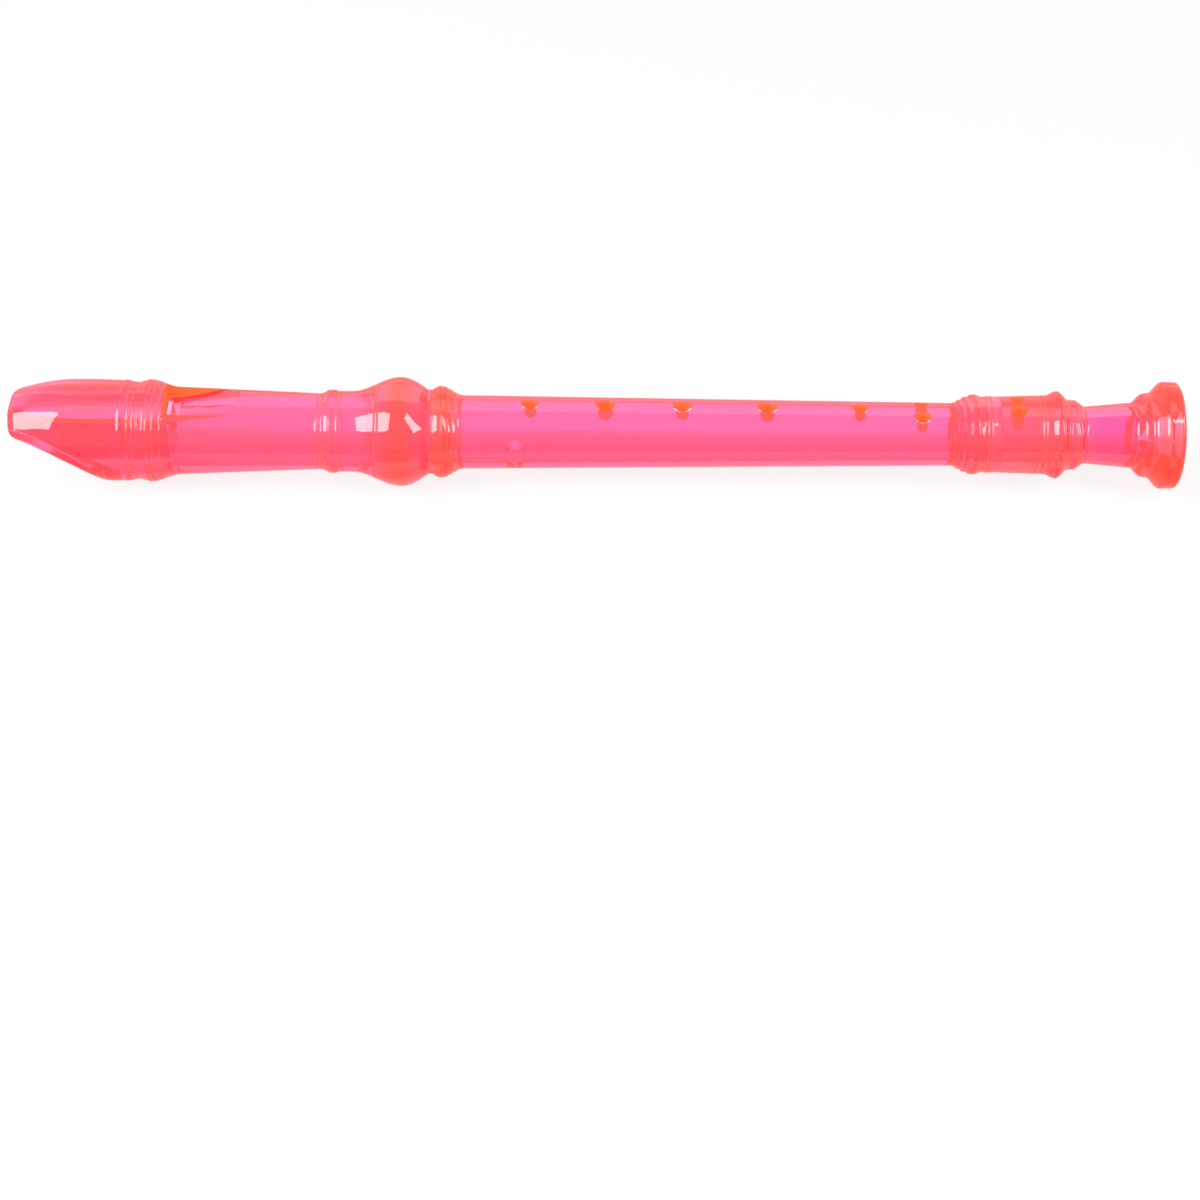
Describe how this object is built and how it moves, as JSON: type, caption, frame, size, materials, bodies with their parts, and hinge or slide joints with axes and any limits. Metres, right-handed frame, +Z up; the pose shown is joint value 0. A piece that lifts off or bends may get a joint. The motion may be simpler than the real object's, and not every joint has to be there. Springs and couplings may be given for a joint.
{
  "type": "descant recorder",
  "caption": "Translucent pink moulded descant recorder: beaked head joint with windway and window, tapered middle joint with finger holes, and a bell-ended foot joint.",
  "frame": {"origin": "on the resting surface under the middle of the length, below the bore's axis", "axes": "+X along the bore towards the bell, +Z up through the window and the finger holes"},
  "size_m": [0.325, 0.0306, 0.0305],
  "materials": {
    "head_plastic": "polished translucent fluorescent pink",
    "block_plastic": "polished translucent fluorescent pink",
    "middle_plastic": "polished translucent fluorescent pink",
    "foot_plastic": "polished translucent fluorescent pink"
  },
  "bodies": {
    "middle": {"middle_joint": "middle_plastic"},
    "head": {"head_joint": "head_plastic", "block": "block_plastic"},
    "foot": {"foot_joint": "foot_plastic"}
  },
  "joints": [
    {"name": "head_pull", "type": "slide", "parent": "middle", "child": "head", "axis": [-1, 0, 0], "range_m": [0, 0.03]},
    {"name": "foot_twist", "type": "hinge", "parent": "middle", "child": "foot", "pos_m": [0.0998, 0, 0.01525], "axis": [1, 0, 0], "continuous": true}
  ]
}
